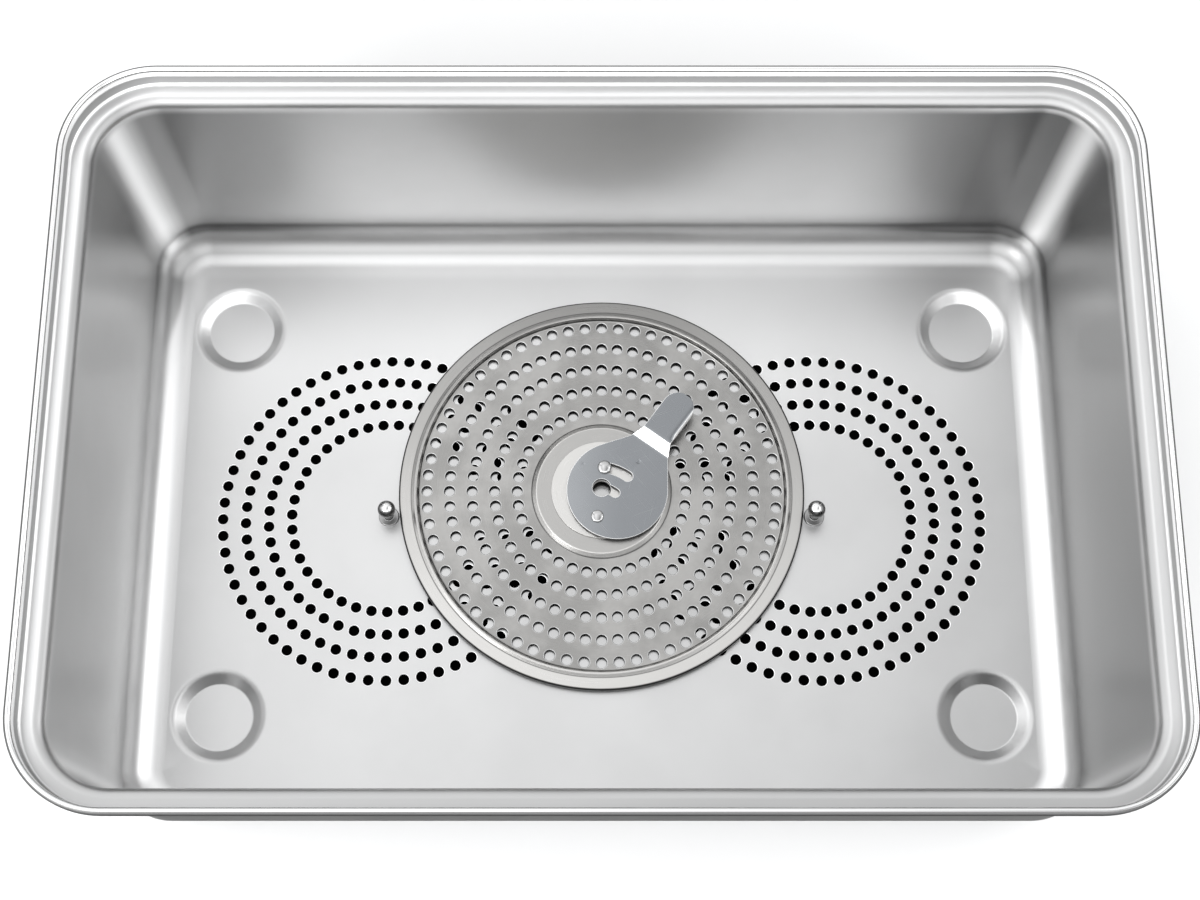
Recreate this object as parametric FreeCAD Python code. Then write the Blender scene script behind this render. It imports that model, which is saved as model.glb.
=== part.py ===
import FreeCAD, Part
import math
import os

# Bottom of a sterilization container: a deep-drawn steel tub with four pressed feet
# and two filter posts, a loose perforated filter retention plate with its lock
# lever, and a folding carrying handle on each short side.
# Millimetres. The origin is on the surface that the feet stand on, below the centre
# of the tub. +X runs along the tub, +Z is up. The front long wall faces -Y.

# Tub
rim_length = 460.0
rim_width = 318.0
total_height = 150.0
tub_sheet = 1.0
rim_corner_radius = 40.0
wall_draft = 1.8
floor_fold_radius = 16.0
rim_bead_width = 3.0
rim_bead_height = 5.0
rim_bead_chamfer = 0.6
lip_height = 12.0
ledge_flat = 4.5
shoulder_radius = 5.0

# Feet pressed down out of the floor, set in from the edges of its flat
foot_inset_x = 23.0
foot_inset_y = 32.5
foot_depth = 4.0
foot_top_radius = 20.5
foot_disc_radius = 15.5

# Filter posts, riveted through the floor, so far apart that two plates lie side by side
plate_gap = 9.0
post_neck_radius = 2.0
post_head_radius = 4.1
post_head_land = 1.2
post_head_height = 12.0
post_crown_radius = 1.9
post_collar_radius = 4.8
post_collar_height = 1.5
post_tail_radius = 2.5
post_tail_length = 1.2
post_tail_head_radius = 4.0
rivet_hole_clearance = 0.05

# Filter retention plate
plate_offset_y = 12.0
plate_sheet = 0.8
plate_radius = 95.5
plate_edge_chamfer = 0.6
plate_skirt_drop = 3.0
plate_flange_height = 4.4
plate_flange_width = 6.2
plate_bead_rise = 0.6
plate_bead_width = 3.4
plate_bead_slope = 1.1
plate_face_height = 2.6
plate_ring_bead_margin = 3.3
plate_ring_hub_margin = 6.6
plate_ring_counts = (64, 60, 52, 44, 36)
plate_hole_diameter = 5.0
hole_sides = 6
hub_radius = 33.2
hub_slope = 2.4
hub_height = 4.4
gasket_width = 4.4
gasket_clearance = 0.3

# Lock: a disc on the hub, and a lever that turns on a pivot rivet above it
lock_disc_radius = 23.75
lock_disc_thickness = 0.8
post_passage_clearance = 0.2
lock_swing = 28.0
lever_rest_angle = 54.0
pivot_to_post = 14.2
pivot_to_guide = 24.2
lever_sheet = 1.2
lever_standoff = 1.8
lever_disc_radius = 23.75
lever_disc_from_pivot = 15.9
lever_neck_start = 41.7
lever_neck_width = 21.4
lever_ramp_length = 6.1
lever_ramp_rise = 4.0
lever_tab_width = 15.2
lever_tab_end = 72.4
post_slot_width = 4.5
guide_slot_width = 5.0
lever_play = 0.1
rivet_radius = 1.5
pivot_head_radius = 3.0
pivot_head_height = 1.3
guide_radius = 2.3
guide_head_radius = 3.3
guide_head_height = 1.6
rivet_head_bevel = 1.2
rivet_tail_radius = 2.6
rivet_tail_height = 0.8
spacer_radius = 3.2

# Carrying handles
handle_drop = 50.0
bracket_sheet = 1.5
bracket_width = 112.0
bracket_height = 28.0
bracket_corner_radius = 5.0
pivot_standoff = 6.5
lug_thickness = 3.0
lug_radius = 4.6
lug_gap = 0.3
bail_leg_centre = 40.5
bail_leg_width = 9.0
bail_thickness = 4.0
bail_reach = 46.0
bail_corner_radius = 14.0
bail_knuckle_radius = 4.5
hinge_pin_radius = 2.0
hinge_pin_head_radius = 3.4
hinge_pin_head_height = 1.2
hinge_running_clearance = 0.1
hinge_seat_clearance = 0.03
grip_length = 60.0
grip_depth = 9.4
grip_height = 15.0
grip_corner_radius = 4.0

# Catches that the lid's latches hook on
catch_width = 36.0
catch_sheet = 1.2
catch_height = 12.0
catch_lip = 4.5
catch_drop = 20.0

floor_underside = foot_depth
floor_top = foot_depth + tub_sheet
half_length = rim_length / 2
half_width = rim_width / 2
post_spacing = 2 * plate_radius + plate_gap
handle_height = total_height - handle_drop
catch_top = total_height - catch_drop
draft = math.radians(wall_draft)
up = FreeCAD.Vector(0, 0, 1)

os.makedirs("parts", exist_ok=True)


def save(name, shape):
    if not shape.isValid():
        raise ValueError(name + " is not a valid shape")
    shape.exportStep("parts/" + name + ".step")


def section(steps):
    """A closed face in the XZ plane. A step is a corner (x, z), or a pair of points
    ((x, z), (x, z)) for an arc through the first that ends at the second."""
    edges = []
    here = FreeCAD.Vector(steps[0][0], 0, steps[0][1])
    start = here
    for step in steps[1:]:
        if isinstance(step[0], tuple):
            through = FreeCAD.Vector(step[0][0], 0, step[0][1])
            there = FreeCAD.Vector(step[1][0], 0, step[1][1])
            edges.append(Part.Arc(here, through, there).toShape())
        else:
            there = FreeCAD.Vector(step[0], 0, step[1])
            edges.append(Part.LineSegment(here, there).toShape())
        here = there
    if (here - start).Length > 1e-6:
        edges.append(Part.LineSegment(here, start).toShape())
    return Part.Face(Part.Wire(edges))


def turned(steps, x=0.0, y=0.0):
    """The section turned once round a vertical axis at (x, y)."""
    solid = section(steps).revolve(FreeCAD.Vector(0, 0, 0), up, 360)
    solid.translate(FreeCAD.Vector(x, y, 0))
    return solid


def disc(radius, low, high, x=0.0, y=0.0):
    return Part.makeCylinder(radius, high - low, FreeCAD.Vector(x, y, low))


def rounded_rectangle(length, width, radius, z):
    """Wire of a rectangle with round corners, centred on the origin."""
    a = length / 2
    b = width / 2
    r = radius
    k = radius * (1 - math.sqrt(0.5))
    points = [
        ((a, -b + r), (a, b - r)),
        ((a - k, b - k), (a - r, b)),
        ((-a + r, b),),
        ((-a + k, b - k), (-a, b - r)),
        ((-a, -b + r),),
        ((-a + k, -b + k), (-a + r, -b)),
        ((a - r, -b),),
        ((a - k, -b + k), (a, -b + r)),
    ]
    here = FreeCAD.Vector(points[0][0][0], points[0][0][1], z)
    edges = []
    for index, item in enumerate(points):
        there = FreeCAD.Vector(item[-1][0], item[-1][1], z)
        if index % 2:
            through = FreeCAD.Vector(item[0][0], item[0][1], z)
            edges.append(Part.Arc(here, through, there).toShape())
        else:
            edges.append(Part.LineSegment(here, there).toShape())
        here = there
    return Part.Wire(edges)


def pierced(wires):
    """Flat face inside the first wire, with the other wires as its holes."""
    return Part.makeFace(wires, "Part::FaceMakerBullseye")


def hole_wire(x, y, z, diameter, turn):
    """One small hole of a perforated sheet, drawn with few sides and the area of
    the round hole."""
    sides = hole_sides
    radius = diameter / 2 * math.sqrt(2 * math.pi / (sides * math.sin(2 * math.pi / sides)))
    corners = []
    for k in range(sides + 1):
        angle = turn + 2 * math.pi * k / sides
        corners.append(FreeCAD.Vector(x + radius * math.cos(angle), y + radius * math.sin(angle), z))
    return Part.makePolygon(corners)


def ring_holes(x, y, z, outer, inner, counts, diameter):
    """Rings of evenly spaced holes about (x, y), spread from the outer radius to the inner."""
    wires = []
    step = (outer - inner) / (len(counts) - 1)
    for ring, count in enumerate(counts):
        radius = outer - ring * step
        for k in range(count):
            angle = 2 * math.pi * k / count
            px = x + radius * math.cos(angle)
            py = y + radius * math.sin(angle)
            wires.append(hole_wire(px, py, z, diameter, angle))
    return wires


# The wall's section, as distances u from the rim's outermost face and heights z.
# The sheet rises from the floor fold, bends outward over the shoulder to the ledge,
# and goes up the lip to the rolled bead.
lip_inner = -rim_bead_width
ledge_z = total_height - lip_height
shoulder_u = lip_inner - ledge_flat
shoulder_z = ledge_z - shoulder_radius
inward_u = -math.cos(draft)
inward_z = math.sin(draft)


def shoulder_point(radius, turn=0.0):
    """Point of the shoulder bend, turned from its tangent with the wall."""
    angle = math.pi - draft - turn
    return (shoulder_u + radius * math.cos(angle), shoulder_z + radius * math.sin(angle))


wall_top = shoulder_point(shoulder_radius)
fold_z = floor_top + floor_fold_radius
wall_bottom_z = fold_z - floor_fold_radius * inward_z
wall_bottom_u = wall_top[0] - (wall_top[1] - wall_bottom_z) * math.tan(draft)
fold_u = wall_bottom_u + floor_fold_radius * inward_u
flat_length = rim_length + 2 * fold_u
flat_width = rim_width + 2 * fold_u
foot_x = flat_length / 2 - foot_inset_x
foot_y = flat_width / 2 - foot_inset_y


def fold_point(radius, turn=0.0):
    """Point of the floor fold, turned from its tangent with the wall."""
    angle = -draft - turn
    return (fold_u + radius * math.cos(angle), fold_z + radius * math.sin(angle))


def wall_outside(z):
    """Distance u of the wall's outer surface at height z."""
    top = shoulder_point(shoulder_radius - tub_sheet)
    return top[0] - (top[1] - z) * math.tan(draft)


def wall_section():
    """Closed face of the sheet from the floor's edge to the bead."""
    inner_fold = floor_fold_radius
    outer_fold = floor_fold_radius + tub_sheet
    inner_bend = shoulder_radius
    outer_bend = shoulder_radius - tub_sheet
    half_turn = (math.pi / 2 - draft) / 2
    bead = rim_bead_chamfer
    top = total_height
    return [
        (fold_u, floor_top),
        (fold_point(inner_fold, half_turn), fold_point(inner_fold)),
        wall_top,
        shoulder_point(inner_bend, half_turn),
        (shoulder_u, ledge_z),
        (lip_inner, ledge_z),
        (lip_inner, top - bead),
        (lip_inner + bead, top),
        (-bead, top),
        (0.0, top - bead),
        (0.0, top - rim_bead_height),
        (lip_inner + tub_sheet, top - rim_bead_height),
        (lip_inner + tub_sheet, ledge_z - tub_sheet),
        (shoulder_u, ledge_z - tub_sheet),
        shoulder_point(outer_bend, half_turn),
        shoulder_point(outer_bend),
        fold_point(outer_fold),
        (fold_point(outer_fold, half_turn), (fold_u, floor_underside)),
    ]


def wall_pieces():
    """Straight walls and corner turns of the tub, all with the one wall section."""
    face = section(wall_section())
    run_x = rim_length - 2 * rim_corner_radius
    run_y = rim_width - 2 * rim_corner_radius
    pieces = []
    for turn, offset, run in ((0, half_length, run_y), (90, half_width, run_x),
                              (180, half_length, run_y), (270, half_width, run_x)):
        side = face.copy()
        side.translate(FreeCAD.Vector(offset, -run / 2, 0))
        side = side.extrude(FreeCAD.Vector(0, run, 0))
        side.rotate(FreeCAD.Vector(0, 0, 0), up, turn)
        pieces.append(side)
    for turn, corner_x, corner_y in ((0, 1, 1), (90, -1, 1), (180, -1, -1), (270, 1, -1)):
        corner = face.copy()
        corner.translate(FreeCAD.Vector(rim_corner_radius, 0, 0))
        corner = corner.revolve(FreeCAD.Vector(0, 0, 0), up, 90)
        corner.rotate(FreeCAD.Vector(0, 0, 0), up, turn)
        corner.translate(FreeCAD.Vector(corner_x * run_x / 2, corner_y * run_y / 2, 0))
        pieces.append(corner)
    return pieces


def foot(x, y):
    """Foot pressed down out of the floor, with a flat round sole."""
    return turned([
        (0.0, 0.0),
        (foot_disc_radius, 0.0),
        (foot_top_radius, floor_underside),
        (foot_top_radius, floor_top),
        (foot_disc_radius, tub_sheet),
        (0.0, tub_sheet),
    ], x, y)


def feet_places():
    return [(sx * foot_x, sy * foot_y) for sx in (-1, 1) for sy in (-1, 1)]


def post_places():
    return [(-post_spacing / 2, 0.0), (post_spacing / 2, 0.0)]


def tub():
    """The whole drawn tub: walls, floor with the posts' seats, and feet."""
    flat_corner = rim_corner_radius + fold_u
    outline = rounded_rectangle(flat_length, flat_width, flat_corner, floor_underside)
    openings = []
    for x, y in feet_places():
        openings.append(Part.Wire(Part.makeCircle(foot_top_radius, FreeCAD.Vector(x, y, floor_underside))))
    for x, y in post_places():
        seat = post_tail_radius + rivet_hole_clearance
        openings.append(Part.Wire(Part.makeCircle(seat, FreeCAD.Vector(x, y, floor_underside))))
    floor = pierced([outline] + openings).extrude(FreeCAD.Vector(0, 0, tub_sheet))
    pieces = wall_pieces() + [foot(x, y) for x, y in feet_places()]
    return floor.multiFuse(pieces).removeSplitter()


def filter_post(x, y):
    """Post with a base collar, a neck, a ball head and a tail riveted under the floor."""
    neck = post_neck_radius
    head = post_head_radius
    low = floor_top + post_head_height
    high = low + post_head_land
    tail = floor_underside - post_tail_length
    return turned([
        (0.0, tail),
        (post_tail_head_radius, tail),
        (post_tail_head_radius, floor_underside),
        (post_tail_radius, floor_underside),
        (post_tail_radius, floor_top),
        (post_collar_radius, floor_top),
        (post_collar_radius, floor_top + post_collar_height),
        (neck, floor_top + post_collar_height),
        (neck, low - (head - neck)),
        (head, low),
        (head, high),
        (post_crown_radius, high + head),
        (0.0, high + head),
    ], x, y)


plate_x = 0.0
plate_y = plate_offset_y
post_passage = post_head_radius + post_passage_clearance
flange_top = floor_top + plate_flange_height
face_top = floor_top + plate_face_height
hub_top = floor_top + hub_height
flange_inner = plate_radius - plate_flange_width
bead_inner = flange_inner - plate_bead_width
pivot_angle = math.radians(lever_rest_angle + lock_swing)
pivot_x = plate_x - pivot_to_post * math.cos(pivot_angle)
pivot_y = plate_y - pivot_to_post * math.sin(pivot_angle)
guide_x = pivot_x + pivot_to_guide * math.cos(pivot_angle)
guide_y = pivot_y + pivot_to_guide * math.sin(pivot_angle)
disc_top = hub_top + lock_disc_thickness
lever_bottom = disc_top + lever_standoff + lever_play
lever_top = lever_bottom + lever_sheet


def plate_rim():
    """Turned-down edge, flat flange and raised bead round the perforated face."""
    sheet = plate_sheet
    skirt_low = flange_top - plate_skirt_drop
    crest = flange_top + plate_bead_rise
    slope = plate_bead_slope
    return turned([
        (bead_inner, face_top),
        (bead_inner + slope, crest),
        (flange_inner - slope, crest),
        (flange_inner, flange_top),
        (plate_radius - plate_edge_chamfer, flange_top),
        (plate_radius, flange_top - plate_edge_chamfer),
        (plate_radius, skirt_low),
        (plate_radius - sheet, skirt_low),
        (plate_radius - sheet, flange_top - sheet),
        (bead_inner + slope, flange_top - sheet),
        (bead_inner, face_top - sheet),
    ], plate_x, plate_y)


def plate_hub():
    """Raised hub with the hole that the post's head passes."""
    sheet = plate_sheet
    return turned([
        (post_passage, hub_top),
        (post_passage, hub_top - sheet),
        (hub_radius - hub_slope, hub_top - sheet),
        (hub_radius, face_top - sheet),
        (hub_radius, face_top),
        (hub_radius - hub_slope, hub_top),
    ], plate_x, plate_y)


def rivet_holes(radius):
    """Drills for the two rivets, through the whole stack."""
    low = floor_top
    high = lever_top + lever_ramp_rise
    return Part.makeCompound([disc(radius, low, high, pivot_x, pivot_y),
                              disc(radius, low, high, guide_x, guide_y)])


def retention_plate():
    """Pressed plate: hub, perforated face, bead and flange."""
    low = face_top - plate_sheet
    outer = Part.Wire(Part.makeCircle(bead_inner, FreeCAD.Vector(plate_x, plate_y, low)))
    inner = Part.Wire(Part.makeCircle(hub_radius, FreeCAD.Vector(plate_x, plate_y, low)))
    first_ring = bead_inner - plate_ring_bead_margin
    last_ring = hub_radius + plate_ring_hub_margin
    holes = ring_holes(plate_x, plate_y, low, first_ring, last_ring, plate_ring_counts, plate_hole_diameter)
    face = pierced([outer, inner] + holes).extrude(FreeCAD.Vector(0, 0, plate_sheet))
    plate = face.multiFuse([plate_rim(), plate_hub()]).removeSplitter()
    return plate.cut(rivet_holes(rivet_radius + rivet_hole_clearance))


def plate_gasket():
    """Silicone ring under the flange, which stands on the tub's floor."""
    outer = plate_radius - plate_sheet - gasket_clearance
    inner = outer - gasket_width
    high = flange_top - plate_sheet
    ring = disc(outer, floor_top, high, plate_x, plate_y)
    return ring.cut(disc(inner, floor_top, high, plate_x, plate_y))


def lock_disc():
    """Flat disc riveted on the hub."""
    plate = disc(lock_disc_radius, hub_top, disc_top, plate_x, plate_y)
    plate = plate.cut(disc(post_passage, hub_top, disc_top, plate_x, plate_y))
    return plate.cut(rivet_holes(rivet_radius + rivet_hole_clearance))


def arc_slot(radius, start, sweep, width, low, high):
    """Slot along an arc about the local origin, with round ends."""
    half = width / 2
    first = math.radians(start)
    last = math.radians(start + sweep)
    middle = (first + last) / 2

    def point(r, angle, z=low):
        return FreeCAD.Vector(r * math.cos(angle), r * math.sin(angle), z)

    def cap(angle, side):
        centre = point(radius, angle)
        return centre + FreeCAD.Vector(-math.sin(angle), math.cos(angle), 0) * (half * side)

    edges = [
        Part.Arc(point(radius + half, first), point(radius + half, middle), point(radius + half, last)),
        Part.Arc(point(radius + half, last), cap(last, 1), point(radius - half, last)),
        Part.Arc(point(radius - half, last), point(radius - half, middle), point(radius - half, first)),
        Part.Arc(point(radius - half, first), cap(first, -1), point(radius + half, first)),
    ]
    wire = Part.Wire([edge.toShape() for edge in edges])
    return Part.Face(wire).extrude(FreeCAD.Vector(0, 0, high - low))


def lever_blank():
    """Round lever head whose sides run straight to the neck, in the lever's own
    frame: the pivot at the origin, the arm along +X."""
    centre = lever_disc_from_pivot
    radius = lever_disc_radius
    half = lever_neck_width / 2
    reach = lever_neck_start - centre
    span = math.hypot(reach, half)
    touch = math.atan2(half, reach) + math.acos(radius / span)
    touch_x = centre + radius * math.cos(touch)
    touch_y = radius * math.sin(touch)
    low = FreeCAD.Vector(0, 0, lever_bottom)
    corners = [FreeCAD.Vector(lever_neck_start, -half, 0), FreeCAD.Vector(lever_neck_start, half, 0),
               FreeCAD.Vector(touch_x, touch_y, 0), FreeCAD.Vector(touch_x, -touch_y, 0)]
    edges = [
        Part.LineSegment(corners[0] + low, corners[1] + low).toShape(),
        Part.LineSegment(corners[1] + low, corners[2] + low).toShape(),
        Part.Arc(corners[2] + low, low + FreeCAD.Vector(centre - radius, 0, 0), corners[3] + low).toShape(),
        Part.LineSegment(corners[3] + low, corners[0] + low).toShape(),
    ]
    return Part.Face(Part.Wire(edges)).extrude(FreeCAD.Vector(0, 0, lever_sheet))


def lever_arm():
    """Ramp and raised finger tab: the bent strip's side section, trimmed to the
    tapered plan with its round end."""
    half = lever_tab_width / 2
    wide = lever_neck_width / 2
    start = lever_neck_start
    ramp = start + lever_ramp_length
    low = lever_bottom
    rise = lever_ramp_rise
    strip = section([
        (start, low),
        (ramp, low + rise),
        (lever_tab_end, low + rise),
        (lever_tab_end, low + rise + lever_sheet),
        (ramp, low + rise + lever_sheet),
        (start, low + lever_sheet),
    ])
    strip.translate(FreeCAD.Vector(0, -wide, 0))
    strip = strip.extrude(FreeCAD.Vector(0, 2 * wide, 0))
    end = lever_tab_end - half
    plan = [
        Part.LineSegment(FreeCAD.Vector(start, -wide, low), FreeCAD.Vector(ramp, -half, low)).toShape(),
        Part.LineSegment(FreeCAD.Vector(ramp, -half, low), FreeCAD.Vector(end, -half, low)).toShape(),
        Part.Arc(FreeCAD.Vector(end, -half, low), FreeCAD.Vector(lever_tab_end, 0, low),
                 FreeCAD.Vector(end, half, low)).toShape(),
        Part.LineSegment(FreeCAD.Vector(end, half, low), FreeCAD.Vector(ramp, half, low)).toShape(),
        Part.LineSegment(FreeCAD.Vector(ramp, half, low), FreeCAD.Vector(start, wide, low)).toShape(),
        Part.LineSegment(FreeCAD.Vector(start, wide, low), FreeCAD.Vector(start, -wide, low)).toShape(),
    ]
    column = Part.Face(Part.Wire(plan)).extrude(FreeCAD.Vector(0, 0, rise + 2 * lever_sheet))
    return strip.common(column)


def lock_lever():
    """Lever with the keyhole that takes the post and the guide rivet's slot."""
    body = lever_blank().fuse(lever_arm())
    high = lever_top + lever_sheet
    body = body.cut(disc(rivet_radius + hinge_running_clearance, lever_bottom, high))
    at = math.radians(lock_swing)
    keyhole_x = pivot_to_post * math.cos(at)
    keyhole_y = pivot_to_post * math.sin(at)
    keyhole = disc(post_passage, lever_bottom, high, keyhole_x, keyhole_y)
    body = body.cut(keyhole)
    body = body.cut(arc_slot(pivot_to_post, 0, lock_swing, post_slot_width, lever_bottom, high))
    body = body.cut(arc_slot(pivot_to_guide, 0, lock_swing, guide_slot_width, lever_bottom, high))
    body = body.removeSplitter()
    body.rotate(FreeCAD.Vector(0, 0, 0), up, lever_rest_angle)
    body.translate(FreeCAD.Vector(pivot_x, pivot_y, 0))
    return body


def rivet(x, y, shank, head_radius, head_height):
    """Rivet through plate, disc and spacer, with a raised head above the lever."""
    seat = lever_top + lever_play
    tail = hub_top - plate_sheet
    steps = [
        (0.0, tail - rivet_tail_height),
        (rivet_tail_radius, tail - rivet_tail_height),
        (rivet_tail_radius, tail),
        (rivet_radius, tail),
        (rivet_radius, disc_top + lever_standoff),
    ]
    if shank > rivet_radius:
        steps.append((shank, disc_top + lever_standoff))
    steps += [
        (shank, seat),
        (head_radius, seat),
        (head_radius - rivet_head_bevel, seat + head_height),
        (0.0, seat + head_height),
    ]
    return turned(steps, x, y)


def spacer(x, y):
    """Ring that holds the lever off the disc."""
    ring = disc(spacer_radius, disc_top, disc_top + lever_standoff, x, y)
    return ring.cut(disc(rivet_radius + rivet_hole_clearance, disc_top, disc_top + lever_standoff, x, y))


# Handle pieces are made in the wall's own frame: x outward from the wall, z up along
# it, y as in the row, with the origin on the wall at the height of the hinge.
def on_wall(shape, side, height=handle_height):
    """Put a piece that was made in the wall's frame on the right (1) or left (-1)."""
    placed = shape.copy()
    placed.rotate(FreeCAD.Vector(0, 0, 0), FreeCAD.Vector(0, 1, 0), wall_draft)
    placed.translate(FreeCAD.Vector(half_length + wall_outside(height), 0, height))
    if side < 0:
        placed.rotate(FreeCAD.Vector(0, 0, 0), up, 180)
    return placed


def across(radius, low, high, x=pivot_standoff, z=0.0):
    """Cylinder along Y in the wall's frame."""
    return Part.makeCylinder(radius, high - low, FreeCAD.Vector(x, low, z), FreeCAD.Vector(0, 1, 0))


leg_inner = bail_leg_centre - bail_leg_width / 2
leg_outer = bail_leg_centre + bail_leg_width / 2


def lug(low):
    """Ear of the bracket round the hinge pin."""
    outline = section([
        (bracket_sheet, -lug_radius),
        (pivot_standoff, -lug_radius),
        ((pivot_standoff + lug_radius, 0.0), (pivot_standoff, lug_radius)),
        (bracket_sheet, lug_radius),
    ])
    outline.translate(FreeCAD.Vector(0, low, 0))
    return outline.extrude(FreeCAD.Vector(0, lug_thickness, 0))


def handle_bracket():
    """Back plate with two pairs of ears."""
    outline = rounded_rectangle(bracket_height, bracket_width, bracket_corner_radius, 0.0)
    plate = Part.Face(outline).extrude(FreeCAD.Vector(0, 0, bracket_sheet))
    plate.rotate(FreeCAD.Vector(0, 0, 0), FreeCAD.Vector(0, 1, 0), 90)
    ears = []
    for inner in (leg_inner - lug_gap - lug_thickness, leg_outer + lug_gap):
        ears.append(lug(inner))
        ears.append(lug(-inner - lug_thickness))
    body = plate.multiFuse(ears)
    reach = leg_outer + lug_gap + lug_thickness
    body = body.cut(across(hinge_pin_radius + hinge_seat_clearance, -reach, reach))
    return body.removeSplitter()


def hinge_pins():
    """Pin through each pair of ears, with a flat head outside."""
    low = leg_inner - lug_gap - lug_thickness
    high = leg_outer + lug_gap + lug_thickness
    pins = []
    for side in (1, -1):
        pin = across(hinge_pin_radius, low, high)
        pin = pin.fuse(across(hinge_pin_head_radius, high, high + hinge_pin_head_height))
        pin = pin.removeSplitter()
        if side < 0:
            pin = pin.mirror(FreeCAD.Vector(0, 0, 0), FreeCAD.Vector(0, 1, 0))
        pins.append(pin)
    return Part.makeCompound(pins)


def handle_bail():
    """Flat U-shaped bail that hangs from its two hinge knuckles."""
    outer = bail_corner_radius
    inner = bail_corner_radius - bail_leg_width
    k = 1 - math.sqrt(0.5)
    low = -bail_reach
    bar = low + bail_leg_width
    back = pivot_standoff - bail_thickness / 2
    steps = [
        (leg_outer, 0.0),
        (leg_inner, 0.0),
        (leg_inner, bar + inner),
        ((leg_inner - inner * k, bar + inner * k), (leg_inner - inner, bar)),
        (-leg_inner + inner, bar),
        ((-leg_inner + inner * k, bar + inner * k), (-leg_inner, bar + inner)),
        (-leg_inner, 0.0),
        (-leg_outer, 0.0),
        (-leg_outer, low + outer),
        ((-leg_outer + outer * k, low + outer * k), (-leg_outer + outer, low)),
        (leg_outer - outer, low),
        ((leg_outer - outer * k, low + outer * k), (leg_outer, low + outer)),
    ]
    sheet = section(steps)
    sheet.rotate(FreeCAD.Vector(0, 0, 0), up, 90)
    sheet.translate(FreeCAD.Vector(back, 0, 0))
    body = sheet.extrude(FreeCAD.Vector(bail_thickness, 0, 0))
    body = body.multiFuse([across(bail_knuckle_radius, leg_inner, leg_outer),
                           across(bail_knuckle_radius, -leg_outer, -leg_inner)])
    bore = hinge_pin_radius + hinge_running_clearance
    return body.cut(across(bore, -leg_outer, leg_outer)).removeSplitter()


def handle_grip():
    """Soft sleeve on the bail's bar."""
    outline = rounded_rectangle(grip_height, grip_depth, grip_corner_radius, 0.0)
    sleeve = Part.Face(outline).extrude(FreeCAD.Vector(0, 0, grip_length))
    sleeve.rotate(FreeCAD.Vector(0, 0, 0), FreeCAD.Vector(0, 1, 0), 90)
    sleeve.rotate(FreeCAD.Vector(0, 0, 0), up, 90)
    bar_middle = -bail_reach + bail_leg_width / 2
    sleeve.translate(FreeCAD.Vector(pivot_standoff, -grip_length / 2, bar_middle))
    slot = Part.makeBox(bail_thickness, grip_length, bail_leg_width,
                        FreeCAD.Vector(pivot_standoff - bail_thickness / 2, -grip_length / 2, -bail_reach))
    return sleeve.cut(slot)


def latch_catch():
    """Bent strip on the wall whose lip the lid's latch hooks under."""
    strip = section([
        (0.0, -catch_height),
        (catch_sheet, -catch_height),
        (catch_sheet, -catch_sheet),
        (catch_lip, -catch_sheet),
        (catch_lip, 0.0),
        (0.0, 0.0),
    ])
    strip.translate(FreeCAD.Vector(0, -catch_width / 2, 0))
    return strip.extrude(FreeCAD.Vector(0, catch_width, 0))


save("tub", tub())
save("filter_posts", Part.makeCompound([filter_post(x, y) for x, y in post_places()]))
save("retention_plate", retention_plate())
save("plate_gasket", plate_gasket())
save("lock_disc", lock_disc())
save("lock_lever", lock_lever())
save("pivot_rivet", rivet(pivot_x, pivot_y, rivet_radius, pivot_head_radius, pivot_head_height))
save("guide_rivet", rivet(guide_x, guide_y, guide_radius, guide_head_radius, guide_head_height))
save("pivot_spacer", spacer(pivot_x, pivot_y))
save("guide_spacer", spacer(guide_x, guide_y))
for side, name in ((1, "right"), (-1, "left")):
    save(name + "_handle_bracket", on_wall(handle_bracket(), side))
    save(name + "_hinge_pins", on_wall(hinge_pins(), side))
    save(name + "_handle_bail", on_wall(handle_bail(), side))
    save(name + "_handle_grip", on_wall(handle_grip(), side))
    save(name + "_latch_catch", on_wall(latch_catch(), side, catch_top))
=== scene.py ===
import math

import bmesh
import bpy
import numpy as np
from mathutils import Matrix, Vector
from mathutils.geometry import delaunay_2d_cdt


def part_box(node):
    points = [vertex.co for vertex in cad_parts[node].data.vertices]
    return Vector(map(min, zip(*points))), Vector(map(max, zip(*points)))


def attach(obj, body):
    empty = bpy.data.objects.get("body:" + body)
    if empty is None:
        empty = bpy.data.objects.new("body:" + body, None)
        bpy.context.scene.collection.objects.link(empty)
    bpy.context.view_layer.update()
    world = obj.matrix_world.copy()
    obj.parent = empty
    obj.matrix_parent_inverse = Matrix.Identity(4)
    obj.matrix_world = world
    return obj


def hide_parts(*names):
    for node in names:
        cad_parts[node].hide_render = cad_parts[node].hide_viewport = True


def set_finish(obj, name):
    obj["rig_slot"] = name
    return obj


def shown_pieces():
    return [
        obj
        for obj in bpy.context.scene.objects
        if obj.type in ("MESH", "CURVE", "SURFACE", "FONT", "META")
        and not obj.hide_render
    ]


# Looks of the sterilization container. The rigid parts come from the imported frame. Here the tub,
# the retention plate and its lock, the posts and the handles get their rounded edges, holes and finishes.
# Lengths are in mm and turn into metres when a mesh is made.

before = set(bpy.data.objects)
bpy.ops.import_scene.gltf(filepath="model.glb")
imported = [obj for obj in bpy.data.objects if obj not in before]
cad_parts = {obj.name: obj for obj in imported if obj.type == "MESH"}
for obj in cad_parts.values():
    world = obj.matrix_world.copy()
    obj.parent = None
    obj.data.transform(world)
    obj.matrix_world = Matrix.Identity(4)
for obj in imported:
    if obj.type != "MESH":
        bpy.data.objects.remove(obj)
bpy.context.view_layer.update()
scene = bpy.context.scene
mm = 0.001
crease = math.radians(40)  # edges sharper than this stay sharp


def boxOf(node):
    low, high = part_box(node)
    return np.array(low) / mm, np.array(high) / mm


def middleOf(node):
    low, high = boxOf(node)
    return (low + high) / 2


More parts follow.
